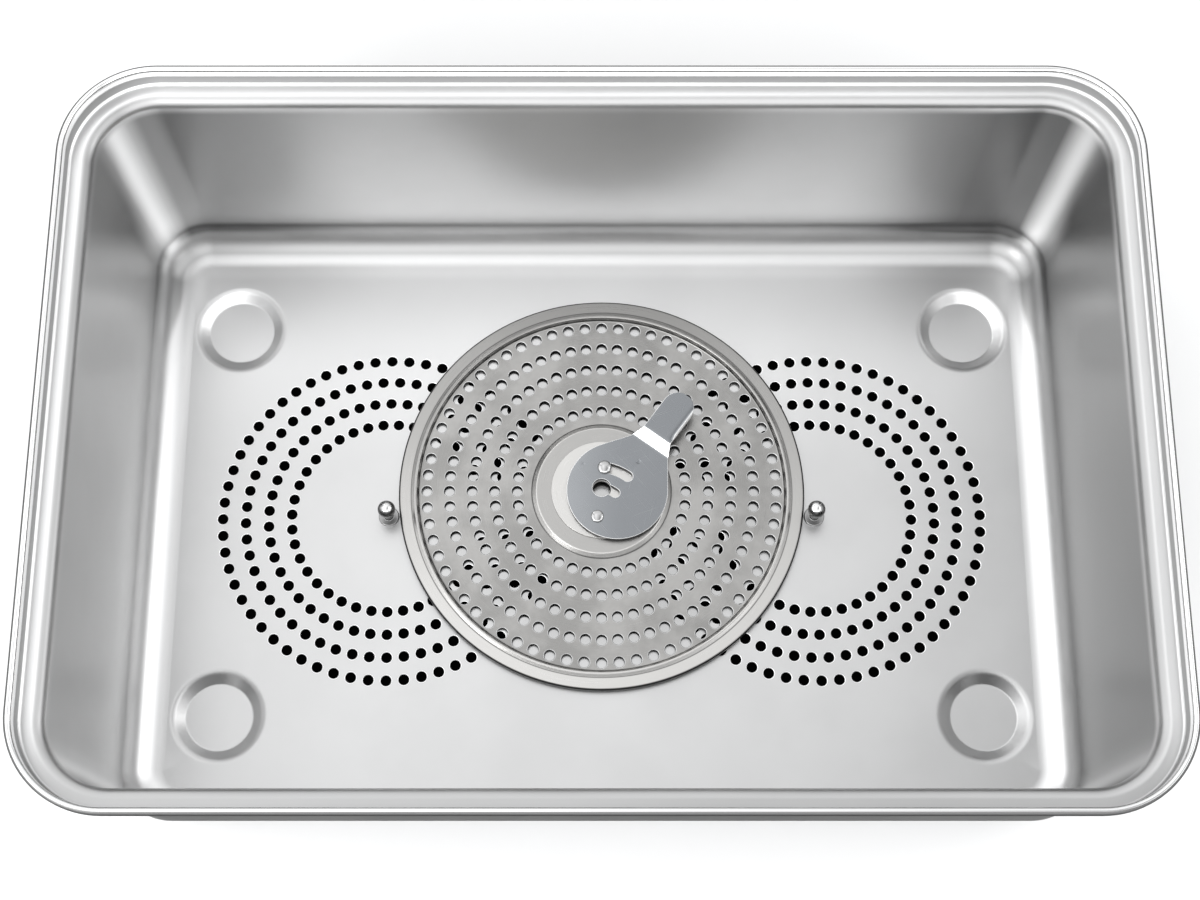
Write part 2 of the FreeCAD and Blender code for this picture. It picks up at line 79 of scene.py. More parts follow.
# Points of a line through corners (x, y, radius), each corner rounded by an arc of its radius.
def roundedLine(corners, closed=False, step=10.0):
    corners = np.array(corners, float)
    line = []
    for k, (x, y, radius) in enumerate(corners):
        here = np.array([x, y])
        if radius <= 0 or (not closed and k in (0, len(corners) - 1)):
            line.append(here)
            continue
        back = corners[k - 1, :2] - here
        ahead = corners[(k + 1) % len(corners), :2] - here
        back = back / np.linalg.norm(back)
        ahead = ahead / np.linalg.norm(ahead)
        half = math.acos(np.clip(back @ ahead, -1, 1)) / 2
        middle = here + (back + ahead) / np.linalg.norm(back + ahead) * radius / math.sin(half)
        first = here + back * radius / math.tan(half) - middle
        last = here + ahead * radius / math.tan(half) - middle
        start = math.atan2(first[1], first[0])
        turn = (math.atan2(last[1], last[0]) - start + math.pi) % (2 * math.pi) - math.pi
        count = max(2, math.ceil(abs(math.degrees(turn)) / step))
        angle = start + turn * np.linspace(0, 1, count + 1)
        line.extend(middle + radius * np.stack([np.cos(angle), np.sin(angle)], 1))
    return np.array(line)


def arcPoints(centre, radius, first, last, count):  # angles in radians, both ends included
    angle = np.linspace(first, last, count)
    return np.stack([centre[0] + radius * np.cos(angle), centre[1] + radius * np.sin(angle)], 1)


def circle(centre, radius, count=48, first=0.0):
    return arcPoints(centre, radius, first, first + 2 * math.pi, count + 1)[:-1]


# Quads between the neighbouring points of a grid. A closed direction joins back to its start.
def gridQuads(rows, columns, closed=True, closedRows=False):
    i, j = np.meshgrid(np.arange(rows if closedRows else rows - 1),
                       np.arange(columns if closed else columns - 1), indexing="ij")
    i, j = i.ravel(), j.ravel()
    below, beside = (i + 1) % rows, (j + 1) % columns
    near, far = i * columns, below * columns
    return np.stack([near + j, far + j, far + beside, near + beside], 1)


# Profile of radii and heights turned about the vertical axis through the centre.
def turned(profile, centre=(0, 0), segments=72):
    angle = 2 * math.pi * np.arange(segments) / segments
    radius, height = np.array(profile, float).T[:, :, None]
    points = np.stack([centre[0] + radius * np.cos(angle), centre[1] + radius * np.sin(angle),
                       height + 0 * angle], -1)
    return points.reshape(-1, 3), gridQuads(len(profile), segments)


def inside(points, loop):  # even-odd test, whole arrays
    x, y = points[:, :1], points[:, 1:2]
    ax, ay = loop.T
    bx, by = np.roll(loop, -1, 0).T
    crosses = (ay > y) != (by > y)
    with np.errstate(divide="ignore", invalid="ignore"):
        reach = (bx - ax) * (y - ay) / (by - ay) + ax
    return (crosses & (x < reach)).sum(1) % 2 == 1


# Triangles of a flat face at a height, inside the first loop and outside the other ones.
def flatFace(loops, height):
    sizes = [len(loop) for loop in loops]
    starts = np.concatenate([[0], np.cumsum(sizes)])
    owner = np.repeat(np.arange(len(loops)), sizes)
    edges = [(int(s + k), int(s + (k + 1) % n)) for s, n in zip(starts, sizes) for k in range(n)]
    given = [Vector(point) for loop in loops for point in loop]
    plan, _, faces, sources, _, _ = delaunay_2d_cdt(given, edges, [], 1, 1e-5)
    plan = np.array([tuple(point) for point in plan])
    faces = np.array(faces)
    owner = owner[np.array([source[0] for source in sources])]
    middle = plan[faces].mean(1)
    same = (owner[faces] == owner[faces][:, :1]).all(1)
    keep = np.ones(len(faces), bool)
    for k, loop in enumerate(loops):
        own = np.flatnonzero(same & (owner[faces[:, 0]] == k))
        within = inside(middle[own], np.array(loop))
        keep[own] = within if k == 0 else ~within
    return np.column_stack([plan, np.full(len(plan), float(height))]), faces[keep]


# A loop moved sideways along its own normals; positive goes to the left of its direction.
def shifted(loop, distance, closed=True):
    ahead = np.roll(loop, -1, 0) - loop
    if not closed:
        ahead[-1] = ahead[-2]
    ahead /= np.linalg.norm(ahead, axis=1)[:, None]
    back = np.roll(ahead, 1, 0)
    if not closed:
        back[0] = ahead[0]
    normal = np.stack([-(ahead + back)[:, 1], (ahead + back)[:, 0]], 1)
    normal /= np.linalg.norm(normal, axis=1)[:, None]
    along = np.stack([-ahead[:, 1], ahead[:, 0]], 1)
    return loop + normal * (distance / np.clip((normal * along).sum(1), 0.3, 1))[:, None]


# Material of a side's quads, row by row: bright on the first two rows and on the last two.
def edgeRows(rows, columns):
    bright = np.zeros(rows - 1, int)
    bright[:2] = 1
    bright[-2:] = 1
    return np.repeat(bright, columns)


# Rounded side of a sheet from its upper to its lower face, as insets and heights.
def sideSteps(low, high, edge):
    bevel = 0.29 * edge  # the point halfway round the edge
    return [(edge, high), (bevel, high - bevel), (0, high - edge),
            (0, low + edge), (bevel, low + bevel), (edge, low)]


# Side of a sheet along a loop: 1 for its outline, -1 for a hole. The rounds get a painted highlight.
def loopSide(loop, steps, side):
    rows = [np.column_stack([shifted(loop, side * inset), np.full(len(loop), z)]) for inset, z in steps]
    return np.concatenate(rows), gridQuads(len(steps), len(loop)), edgeRows(len(steps), len(loop))


# Sheet cut along a counterclockwise outline in plan.
def cutSheet(outline, low, high, edge):
    faces = [flatFace([shifted(outline, edge)], height) for height in (high, low)]
    return [loopSide(outline, sideSteps(low, high, edge), 1)] + faces


# Sides of many punched holes in a sheet as one grid each, with the rolled-over edge of a punch at the top;
# the edge takes the painted highlight and the side below it painted shade.
def holeSides(centres, radius, low, high, edge, segments):
    angle = 2 * math.pi * np.arange(segments) / segments
    rows = np.array([(radius + edge, high), (radius + 0.55 * edge, high - 0.1 * edge),
                     (radius + 0.2 * edge, high - 0.35 * edge), (radius, high - 0.8 * edge), (radius, low)])
    ring = np.stack([rows[:, :1] * np.cos(angle), rows[:, :1] * np.sin(angle),
                     rows[:, 1:] + 0 * angle], -1).reshape(-1, 3)
    points = ring[None] + np.column_stack([centres, np.zeros(len(centres))])[:, None]
    quads = gridQuads(len(rows), segments)
    offset = (len(ring) * np.arange(len(centres)))[:, None, None]
    finish = np.tile(np.repeat([1, 1, 2, 2], segments), len(centres))
    return points.reshape(-1, 3), (quads[None] + offset).reshape(-1, 4), finish


# Centres of the holes in rings about a point: radii, counts and the angle of each ring's first hole.
def ringCentres(centre, radii, counts, firsts):
    rings = [circle(centre, r, n, math.radians(a)) for r, n, a in zip(radii, counts, firsts)]
    return np.concatenate(rings)


def sweep(path, across, up, section):  # section (a, b) along the directions `across` and `up`
    a, b = section.T
    points = path[:, None] + across[:, None] * a[None, :, None] + np.array(up, float) * b[None, :, None]
    return points.reshape(-1, 3), gridQuads(len(path), len(section))


def fan(ring):  # closes the end of a tube by triangles round its middle
    here, count = np.arange(len(ring)), len(ring)
    return np.concatenate([ring, [ring.mean(0)]]), np.stack([here, (here + 1) % count, 0 * here + count], 1)


# One object from parts (points, faces and, for some, each face's material: 0 the surface, 1 a bright edge
# with a painted highlight, 2 painted shade in holes, 3 the outside with painted shade). Coincident points
# are merged, faces turned outwards and poles closed.
def makePiece(name, parts, body, slot, replaces):
    vertices, faces, finish, start = [], [], [], 0
    for points, quads, *kinds in parts:
        vertices.append(np.asarray(points) * mm)
        faces.extend((np.asarray(quads) + start).tolist())
        finish.append(kinds[0] if kinds else np.zeros(len(quads), int))
        start += len(points)
    mesh = bpy.data.meshes.new(name)
    mesh.from_pydata(np.concatenate(vertices).tolist(), [], faces)
    mesh.polygons.foreach_set("material_index", np.concatenate(finish))
    work = bmesh.new()
    work.from_mesh(mesh)
    bmesh.ops.remove_doubles(work, verts=work.verts, dist=0.004 * mm)
    bmesh.ops.dissolve_degenerate(work, edges=work.edges, dist=0.002 * mm)
    bmesh.ops.recalc_face_normals(work, faces=work.faces)
    work.to_mesh(mesh)
    work.free()
    mesh.polygons.foreach_set("use_smooth", np.ones(len(mesh.polygons), bool))
    mesh.set_sharp_from_angle(angle=crease)
    piece = bpy.data.objects.new(name, mesh)
    scene.collection.objects.link(piece)
    flatten = piece.modifiers.new("flatten", "WEIGHTED_NORMAL")  # big faces stay flat beside small rounds
    flatten.keep_sharp = True
    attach(piece, body)
    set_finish(piece, slot)
    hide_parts(*replaces)
    return piece


tubHigh = boxOf("tub")[1]
tub = {
    "halfLength": tubHigh[0],
    "halfWidth": tubHigh[1],
    "top": tubHigh[2],
    "cornerRadius": 40.0,
    "sheet": 1.0,
    "draft": math.radians(1.8),
    "foldRadius": 16.0,
    "beadWidth": 3.0,
    "beadDepth": 5.0,
    "lip": 12.0,
    "ledge": 4.5,
    "shoulder": 5.0,
    "footDepth": 4.0,
    "footInset": (23.0, 32.5),
    "footTop": 20.5,
    "footDisc": 15.5,
    "footBlend": 2.4,
    "footRounds": (5.0, 1.5),
    "footSegments": 72,
}
tub["floor"] = tub["footDepth"] + tub["sheet"]
field = {
    "spacing": 200.0,
    "holeRadius": 2.4,
    "edge": 0.45,
    "segments": 20,
    "radii": (78.2, 67.4, 56.6, 45.8),
    "counts": (60, 53, 46, 39),
    "firstLeft": (0.75, 5.9, 4.7, 3.0),
    "firstRight": (0.75, 2.3, 4.7, 7.7),
}


# Distance u of the wall's face from the rim's outermost face, for a radius about the shoulder bend.
def wallAt(radius, height):
    draft = tub["draft"]
    startU = -tub["beadWidth"] - tub["ledge"] - radius * math.cos(draft)
    startZ = tub["top"] - tub["lip"] - tub["shoulder"] + radius * math.sin(draft)
    return startU - (startZ - height) * math.tan(draft)


def tubSection():
    top, floor, sheet = tub["top"], tub["floor"], tub["sheet"]
    ledge = top - tub["lip"]
    lip = -tub["beadWidth"]
    under = top - tub["beadDepth"]
    fold, bend = tub["foldRadius"], tub["shoulder"]
    flat = wallAt(bend, floor) - fold * math.tan(math.pi / 4 - tub["draft"] / 2)
    corners = [
        (flat, floor, 0),
        (wallAt(bend, floor), floor, fold),
        (wallAt(bend, ledge), ledge, bend),
        (lip, ledge, 1.0),
        (lip, top, 1.45),
        (0, top, 1.45),
        (0, under, 1.3),
        (lip + sheet, under, 0.4),
        (lip + sheet, ledge - sheet, 1.9),
        (wallAt(bend - sheet, ledge - sheet), ledge - sheet, bend - sheet),
        (wallAt(bend - sheet, floor - sheet), floor - sheet, fold + sheet),
        (flat, floor - sheet, 0),
    ]
    return roundedLine(corners, step=7.5)


# Where the rim runs: the corner's centre and the outward direction for every column of the wall.
def rimColumns(arcs=24):
    quarter = np.linspace(0, math.pi / 2, arcs + 1)
    angle = np.concatenate([quarter + k * math.pi / 2 for k in range(4)])
    reach = np.array([tub["halfLength"], tub["halfWidth"]]) - tub["cornerRadius"]
    sign = np.repeat([(1, 1), (-1, 1), (-1, -1), (1, -1)], arcs + 1, axis=0)
    return sign * reach, np.stack([np.cos(angle), np.sin(angle)], 1)


def footProfile(low):  # from the floor down to the sole, for the face at that height
    high = low + tub["footDepth"]
    brink, sole = tub["footRounds"]
    corners = [(tub["footTop"] + tub["footBlend"], high, 0), (tub["footTop"], high, brink),
               (tub["footDisc"], low, sole), (0, low, 0)]
    return roundedLine(corners, step=8)


section = tubSection()
corner, outward = rimColumns()
wallPlan = corner[None] + outward[None] * (tub["cornerRadius"] + section[:, :1, None])
wallHeight = np.broadcast_to(section[:, 1:, None], wallPlan.shape[:2] + (1,))
wallPoints = np.concatenate([wallPlan, wallHeight], -1)
flatHalf = np.array([tub["halfLength"], tub["halfWidth"]]) + section[0, 0]
footPlaces = [(sx * (flatHalf[0] - tub["footInset"][0]), sy * (flatHalf[1] - tub["footInset"][1]))
              for sx in (-1, 1) for sy in (-1, 1)]
fieldCentres = np.concatenate([
    ringCentres((-field["spacing"] / 2, 0), field["radii"], field["counts"], field["firstLeft"]),
    ringCentres((field["spacing"] / 2, 0), field["radii"], field["counts"], field["firstRight"]),
])
tubParts = [(wallPoints.reshape(-1, 3), gridQuads(len(section), len(outward)))]
footLoops = [circle(place, tub["footTop"] + tub["footBlend"], tub["footSegments"]) for place in footPlaces]
for height, edge in ((tub["floor"], field["edge"]), (tub["footDepth"], 0)):
    row = 0 if edge else -1
    holes = [circle(place, field["holeRadius"] + edge, field["segments"]) for place in fieldCentres]
    tubParts.append(flatFace([wallPlan[row]] + footLoops + holes, height))
tubParts.append(holeSides(fieldCentres, field["holeRadius"], tub["footDepth"], tub["floor"],
                          field["edge"], field["segments"]))
for place in footPlaces:
    for low in (tub["sheet"], 0.0):
        tubParts.append(turned(footProfile(low), place, tub["footSegments"]))
tubSkin = makePiece("tub_skin", tubParts, "container", "satin_steel", ["tub"])


# The tub's outer side gets a darker copy of its steel, painted shade: faces that look away from its middle,
# or down.
# It starts a little way over the top of the bead.
def markOutside(mesh):
    count = len(mesh.polygons)
    middle, normal = np.empty(3 * count), np.empty(3 * count)
    finish = np.empty(count, int)
    mesh.polygons.foreach_get("center", middle)
    mesh.polygons.foreach_get("normal", normal)
    mesh.polygons.foreach_get("material_index", finish)
    middle, normal = middle.reshape(-1, 3) / mm, normal.reshape(-1, 3)
    reach = np.array([tub["halfLength"], tub["halfWidth"]]) - tub["cornerRadius"]
    away = middle[:, :2] - np.clip(middle[:, :2], -reach, reach)
    facing = (normal[:, :2] * away).sum(1) > 0.15 * np.linalg.norm(away, axis=1) + 1e-6
    level = (normal[:, :2] * away).sum(1) / np.maximum(np.linalg.norm(away, axis=1), 1e-6)
    bead = (middle[:, 2] > tub["top"] - tub["beadDepth"]) & (level < 0.3)
    outside = (facing | (normal[:, 2] < -0.3)) & ~bead & (finish == 0)
    finish[outside] = 3
    mesh.polygons.foreach_set("material_index", finish)


markOutside(tubSkin.data)
print("tub", len(tubSkin.data.polygons))

postLow, postHigh = boxOf("filter_posts")
post = {
    "spacing": field["spacing"],
    "neck": 2.0,
    "ball": 4.1,
    "collar": 4.8,
    "collarHeight": 1.5,
    "tail": 4.0,
    "crown": 0.3,
    "step": 1.5,
}
ballHeight = postHigh[2] - post["ball"] - post["crown"]
neckAngle = -math.acos(post["neck"] / post["ball"])
ball = arcPoints((0, ballHeight), post["ball"], neckAngle, math.pi / 2, 22)
floorTop = tub["floor"]
collarTop = floorTop + post["collarHeight"]
shank = post["collar"] - post["step"]
postProfile = np.concatenate([
    roundedLine([
        (0, postLow[2], 0), (post["tail"], postLow[2], 1.0), (post["tail"], tub["footDepth"], 0.1),
        (shank, tub["footDepth"], 0), (shank, floorTop, 0), (post["collar"], floorTop, 0),
        (post["collar"], collarTop, 0.5), (post["neck"], collarTop, 0.5),
        (post["neck"], ball[0, 1] - 0.3, 0),
    ]),
    ball,
])
postParts = [turned(postProfile, (side * post["spacing"] / 2, 0), 48) for side in (-1, 1)]
makePiece("filter_posts_skin", postParts, "container", "polished_steel", ["filter_posts"])

plateLow, plateHigh = boxOf("retention_plate")
plate = {
    "centre": tuple(middleOf("retention_plate")[:2]),
    "radius": (plateHigh[0] - plateLow[0]) / 2,
    "sheet": 0.8,
    "flange": 9.4,
    "flangeWidth": 6.2,
    "beadRise": 0.6,
    "beadWidth": 3.4,
    "face": 7.6,
    "hubRadius": 33.2,
    "hubSlope": 2.4,
    "bore": 4.3,
    "holeRadius": 2.5,
    "edge": 0.4,
    "rings": (82.4, 39.8),
    "counts": (64, 60, 52, 44, 36),
    "firsts": (0.0,) * 5,
    "rimSegments": 144,
    "hubSegments": 96,
    "holeSegments": 24,
}


def plateRim():
    r, sheet, flange, face = plate["radius"], plate["sheet"], plate["flange"], plate["face"]
    foot = plateLow[2]
    inner = r - plate["flangeWidth"]
    start = inner - plate["beadWidth"]
    crest = flange + plate["beadRise"]
    corners = [
        (start - 0.45, face, 0), (start, face, 0.7), (start + 1.3, crest, 0.9), (inner - 1.2, crest, 0.9),
        (inner, flange, 0.5), (r, flange, 1.1), (r, foot, 0.3), (r - sheet, foot, 0.3),
        (r - sheet, flange - sheet, 0.4), (start + 1.3, flange - sheet, 0.5), (start, face - sheet, 0.5),
        (start - 0.45, face - sheet, 0),
    ]
    return roundedLine(corners, step=15)


def plateHub():
    r, slope, sheet = plate["hubRadius"], plate["hubSlope"], plate["sheet"]
    face, top, bore = plate["face"], plate["flange"], plate["bore"]
    corners = [
        (r + 1.2, face, 0), (r, face, 0.8), (r - slope, top, 0.8), (bore, top, 0.2),
        (bore, top - sheet, 0.2), (r - slope, top - sheet, 0.6), (r, face - sheet, 0.6),
        (r + 1.2, face - sheet, 0),
    ]
    return roundedLine(corners, step=15)


rimProfile, hubProfile = plateRim(), plateHub()
plateHoles = ringCentres(plate["centre"], np.linspace(*plate["rings"], 5), plate["counts"], plate["firsts"])
plateParts = [turned(rimProfile, plate["centre"], plate["rimSegments"]),
              turned(hubProfile, plate["centre"], plate["hubSegments"])]
plateUnder = plate["face"] - plate["sheet"]
for height, edge in ((plate["face"], plate["edge"]), (plateUnder, 0)):
    loops = [circle(plate["centre"], rimProfile[0, 0], plate["rimSegments"]),
             circle(plate["centre"], hubProfile[0, 0], plate["hubSegments"])]
    loops += [circle(place, plate["holeRadius"] + edge, plate["holeSegments"]) for place in plateHoles]
    plateParts.append(flatFace(loops, height))
plateParts.append(holeSides(plateHoles, plate["holeRadius"], plateUnder, plate["face"], plate["edge"],
                            plate["holeSegments"]))
makePiece("retention_plate_skin", plateParts, "filter_plate", "brushed_plate_steel", ["retention_plate"])

discLow, discHigh = boxOf("lock_disc")
lockDisc = {"radius": (discHigh[0] - discLow[0]) / 2, "bore": plate["bore"]}
discCorners = [(lockDisc["bore"], discLow[2], 0.1), (lockDisc["radius"], discLow[2], 0.1),
               (lockDisc["radius"], discHigh[2], 0.25), (lockDisc["bore"], discHigh[2], 0.2)]
discProfile = roundedLine(discCorners, closed=True, step=30)
discPoints, _ = turned(discProfile, plate["centre"], plate["hubSegments"])
discQuads = gridQuads(len(discProfile), plate["hubSegments"], closedRows=True)
makePiece("lock_disc_skin", [(discPoints, discQuads)], "filter_plate", "brushed_plate_steel", ["lock_disc"])

pivot = middleOf("pivot_rivet")
guide = middleOf("guide_rivet")
lever = {
    "low": boxOf("lock_lever")[0][2],
    "angle": math.radians(54),
    "swing": math.radians(28),
    "postReach": 14.2,
    "guideReach": float(np.linalg.norm((guide - pivot)[:2])),
    "sheet": 1.2,
    "headRadius": 23.75,
    "headReach": 15.9,
    "neck": 41.7,
    "neckHalf": 10.7,
    "ramp": 6.1,
    "rise": 4.0,
    "tabHalf": 7.6,
    "end": 72.4,
    "keyhole": 4.3,
    "postSlot": 2.25,
    "guideSlot": 2.5,
    "edge": 0.2,
    "roll": 2.2,
    "dents": ((33.1, 0.0, 1.35), (17.0, 20.2, 0.6)),
}


# Round head from one end of the neck to the other, in the lever's own frame, pivot at the origin.
def leverHead():
    centre, radius = lever["headReach"], lever["headRadius"]
    reach, half = lever["neck"] - centre, lever["neckHalf"]
    touch = math.atan2(half, reach) + math.acos(radius / math.hypot(reach, half))
    arc = arcPoints((centre, 0), radius, touch, 2 * math.pi - touch, 73)
    return np.concatenate([[(lever["neck"], half)], arc, [(lever["neck"], -half)]])


def keyholeLoop():
    reach, swing, hole, half = lever["postReach"], lever["swing"], lever["keyhole"], lever["postSlot"]
    centre = reach * np.array([math.cos(swing), math.sin(swing)])

    def meeting(radius):  # angle before the keyhole's centre at which the slot's side meets the keyhole
        cosine = (reach ** 2 + radius ** 2 - hole ** 2) / (2 * reach * radius)
        return swing - math.acos(cosine)

    outer = arcPoints((0, 0), reach + half, 0, meeting(reach + half), 12)
    inner = arcPoints((0, 0), reach - half, meeting(reach - half), 0, 12)
    first = math.atan2(*(outer[-1] - centre)[::-1])
    last = math.atan2(*(inner[0] - centre)[::-1])
    bow = arcPoints(centre, hole, first, last + (2 * math.pi if last < first else 0), 40)
    cap = arcPoints((reach, 0), half, math.pi, 2 * math.pi, 14)
    return np.concatenate([outer[:-1], bow, inner[1:-1], cap[:-1]])


def slotLoop(reach, half, swing):
    outer = arcPoints((0, 0), reach + half, 0, swing, 20)
    far = arcPoints(reach * np.array([math.cos(swing), math.sin(swing)]), half, swing, swing + math.pi, 14)
    inner = arcPoints((0, 0), reach - half, swing, 0, 20)
    near = arcPoints((reach, 0), half, math.pi, 2 * math.pi, 14)
    return np.concatenate([outer[:-1], far[:-1], inner[:-1], near[:-1]])


# Height of the bent sheet above its head: level, up the ramp with rounded bends, level again.
def leverLift(x):
    def bend(t, soft=0.6):
        return np.where(t < -soft, 0, np.where(t > soft, t, (t + soft) ** 2 / (4 * soft)))
    slope = lever["rise"] / lever["ramp"]
    return slope * (bend(x - lever["neck"] - 0.6) - bend(x - lever["neck"] - 0.6 - lever["ramp"]))


def leverParts():
    low, high, edge = lever["low"], lever["low"] + lever["sheet"], lever["edge"]
    steps = sideSteps(low, high, edge)
    head = leverHead()
    share = np.linspace(-1, 1, 15)
    rows = []
    for inset, z in steps:
        line = shifted(head, inset, closed=False)
        line[0] = (lever["neck"], lever["neckHalf"] - inset)
        line[-1] = (lever["neck"], -lever["neckHalf"] + inset)
        rows.append(np.column_stack([line, np.full(len(line), z)]))
    parts = [(np.concatenate(rows), gridQuads(len(steps), len(head), closed=False),
              edgeRows(len(steps), len(head) - 1))]
    loops = [keyholeLoop(), slotLoop(lever["guideReach"], lever["guideSlot"], lever["swing"])]
    dents = [circle((x, y), r, 20) for x, y, r in lever["dents"]]
    across = (lever["neckHalf"] - edge) * share[1:-1]
    neck = np.column_stack([np.full(len(across), lever["neck"]), across])
    for row, height in ((rows[0], high), (rows[-1], low)):
        outline = np.concatenate([row[:, :2], neck])
        holes = [shifted(loop, -edge) for loop in loops] + (dents if height == high else [])
        parts.append(flatFace([outline] + holes, height))
    parts += [loopSide(loop, steps, -1) for loop in loops]
    for x, y, r in lever["dents"]:  # shallow round dents
        across = np.linspace(1, 0, 6)
        bowl = np.stack([r * across, high - 0.3 * r * (1 - across ** 2)], 1)
        parts.append(turned(bowl, (x, y), 20))
    return parts + armParts(low, high, edge, share)


# The arm: stations along it, each a closed ring of the top, one side, the underside and the other side.
def armParts(low, high, edge, share):
    neck, ramp, half, end = lever["neck"], lever["ramp"], lever["tabHalf"], lever["end"]
    bendStations = np.linspace(neck, neck + ramp + 1.6, 18)
    straight = np.linspace(neck + ramp + 2.4, end - half, 7)
    tip = end - half + (half - edge) * np.sin(np.linspace(0, math.pi / 2, 14)[1:])
    station = np.concatenate([bendStations, straight, tip])
    taper = np.clip((station - neck) / ramp, 0, 1)
    width = lever["neckHalf"] + (half - lever["neckHalf"]) * taper
    tipWidth = np.sqrt(np.clip(half ** 2 - (station - end + half) ** 2, 0, None))
    width = np.where(station > end - half, tipWidth, width)
    sides = sideSteps(low, high, edge)[1:5]
    top = [(s, edge, high) for s in share]
    right = [(1.0, inset, z) for inset, z in sides]
    under = [(s, edge, low) for s in share[::-1]]
    left = [(-1.0, inset, z) for inset, z in sides[::-1]]
    ring = np.array(top + right + under + left)
    y = ring[None, :, 0] * np.clip(width[:, None] - ring[None, :, 1], 0, None)
    z = ring[None, :, 2] + 0 * y
    x = station[:, None] + 0 * y
    rollStart = -(half - lever["roll"])  # the tab's edge is rolled down on one side
    rolled = np.clip(rollStart - y, 0, lever["roll"]) * np.clip((x - neck - ramp) / 4, 0, 1)
    reach = lever["roll"] * 1.02
    z = z - 0.75 * (reach - np.sqrt(reach ** 2 - rolled ** 2))
    points = np.stack([x, y, z], -1)
    edges = (ring[:, 2] != np.roll(ring[:, 2], -1)) & (np.abs(ring[:, 2] - (low + high) / 2) > 0.3)
    finish = np.tile(edges.astype(int), len(station) - 1)
    return [(points.reshape(-1, 3), gridQuads(len(station), len(ring)), finish), fan(points[-1])]


def placeLever(points):  # from the lever's own frame to the row's
    points = np.array(points, float)
    points[:, 2] += leverLift(points[:, 0])
    turn = np.array([[math.cos(lever["angle"]), -math.sin(lever["angle"])],
                     [math.sin(lever["angle"]), math.cos(lever["angle"])]])
    points[:, :2] = points[:, :2] @ turn.T + pivot[:2]
    return points


makePiece("lock_lever_skin", [(placeLever(points), *rest) for points, *rest in leverParts()],
          "lever", "lever_steel", ["lock_lever"])

rivets = {
    "pivot_rivet": {"head": 3.0, "shank": 1.5, "dome": 1.0, "seat": 1.3, "segments": 40},
    "guide_rivet": {"head": 3.3, "shank": 2.3, "dome": 1.4, "seat": 1.6, "segments": 48},
}
rivetTail = {"radius": 2.6, "round": 0.4, "height": 0.8, "shank": 1.5, "sleeve": 1.4}
for node, rivet in rivets.items():
    low, high = boxOf(node)
    seat, brim = high[2] - rivet["seat"], high[2] - rivet["dome"]
    dome = arcPoints((0, 0), 1, 0, math.pi / 2, 12) * (rivet["head"], rivet["dome"]) + (0, brim)
    tail, tailTop, tailShank = rivetTail["radius"], low[2] + rivetTail["height"], rivetTail["shank"]
    sleeve = seat - rivetTail["sleeve"]
    profile = np.concatenate([
        roundedLine([
            (0, low[2], 0), (tail, low[2], rivetTail["round"]), (tail, tailTop, 0), (tailShank, tailTop, 0),
            (tailShank, sleeve, 0), (rivet["shank"], sleeve, 0), (rivet["shank"], seat, 0),
            (rivet["head"], seat, 0),
        ]),
        dome,
    ])
    part = turned(profile, middleOf(node)[:2], rivet["segments"])
    makePiece(node + "_skin", [part], "filter_plate", "polished_steel", [node])

handle = {
    "bracketSheet": 1.5,
    "bracket": (28.0, 112.0, 5.0),
    "standoff": 6.5,
    "lug": (3.0, 4.6, 0.3),
    "legCentre": 40.5,
    "legWidth": 9.0,
    "thickness": 4.0,
    "reach": 46.0,
    "corner": 14.0,
    "knuckle": 4.5,
    "pin": 2.0,
    "pinHead": (3.4, 1.2),
    "grip": (60.0, 9.4, 15.0),
    "catch": (36.0, 1.2, 12.0, 4.5),
    "height": 100.0,
    "catchTop": 130.0,
}


# From the wall's own frame (x outward, z up along it) to the row, on the right (1) or the left (-1).
def onWall(points, side, height):
    lean = tub["draft"]
    x, y, z = np.asarray(points, float).T
    away = tub["halfLength"] + wallAt(tub["shoulder"] - tub["sheet"], height)
    placedX = x * math.cos(lean) + z * math.sin(lean) + away
    placedZ = -x * math.sin(lean) + z * math.cos(lean) + height
    return np.stack([side * placedX, side * y, placedZ], 1)


def reordered(part, order):  # swap a part's axes, such as plan to wall
    points, *rest = part
    return np.asarray(points)[:, order], *rest


def acrossY(profile, x, z, segments=40):  # profile (radius, place along y), turned about a line along Y
    points, faces = turned(profile, (x, z), segments)
    return points[:, [0, 2, 1]], faces


def roundedBox(wide, tall, radius, step):  # counterclockwise, about the origin
    signs = ((1, 1), (-1, 1), (-1, -1), (1, -1))
    return roundedLine([(a * wide / 2, b * tall / 2, radius) for a, b in signs], closed=True, step=step)


def bracketParts():
    tall, wide, corner = handle["bracket"]
    backing = cutSheet(roundedBox(wide, tall, corner, 9), 0, handle["bracketSheet"], 0.4)
    parts = [reordered(part, [2, 0, 1]) for part in backing]
    thick, radius, gap = handle["lug"]
    bow = arcPoints((handle["standoff"], 0), radius, -math.pi / 2, math.pi / 2, 28)
    ear = np.concatenate([[(0.3, -radius)], bow, [(0.3, radius)]])
    inner = handle["legCentre"] - handle["legWidth"] / 2 - gap - thick
    outer = handle["legCentre"] + handle["legWidth"] / 2 + gap
    for start in (inner, outer, -inner - thick, -outer - thick):
        parts += [reordered(part, [0, 2, 1]) for part in cutSheet(ear, start, start + thick, 0.45)]
    return parts


def pinParts():
    thick, _, gap = handle["lug"]
    low = handle["legCentre"] - handle["legWidth"] / 2 - gap - thick
    high = handle["legCentre"] + handle["legWidth"] / 2 + gap + thick
    head, rise = handle["pinHead"]
    profile = roundedLine([(0, low, 0), (handle["pin"], low, 0.5), (handle["pin"], high, 0),
                           (head, high, 0.2), (head, high + rise, 0.9), (0, high + rise, 0)], step=15)
    return [acrossY(profile * (1, side), handle["standoff"], 0) for side in (1, -1)]


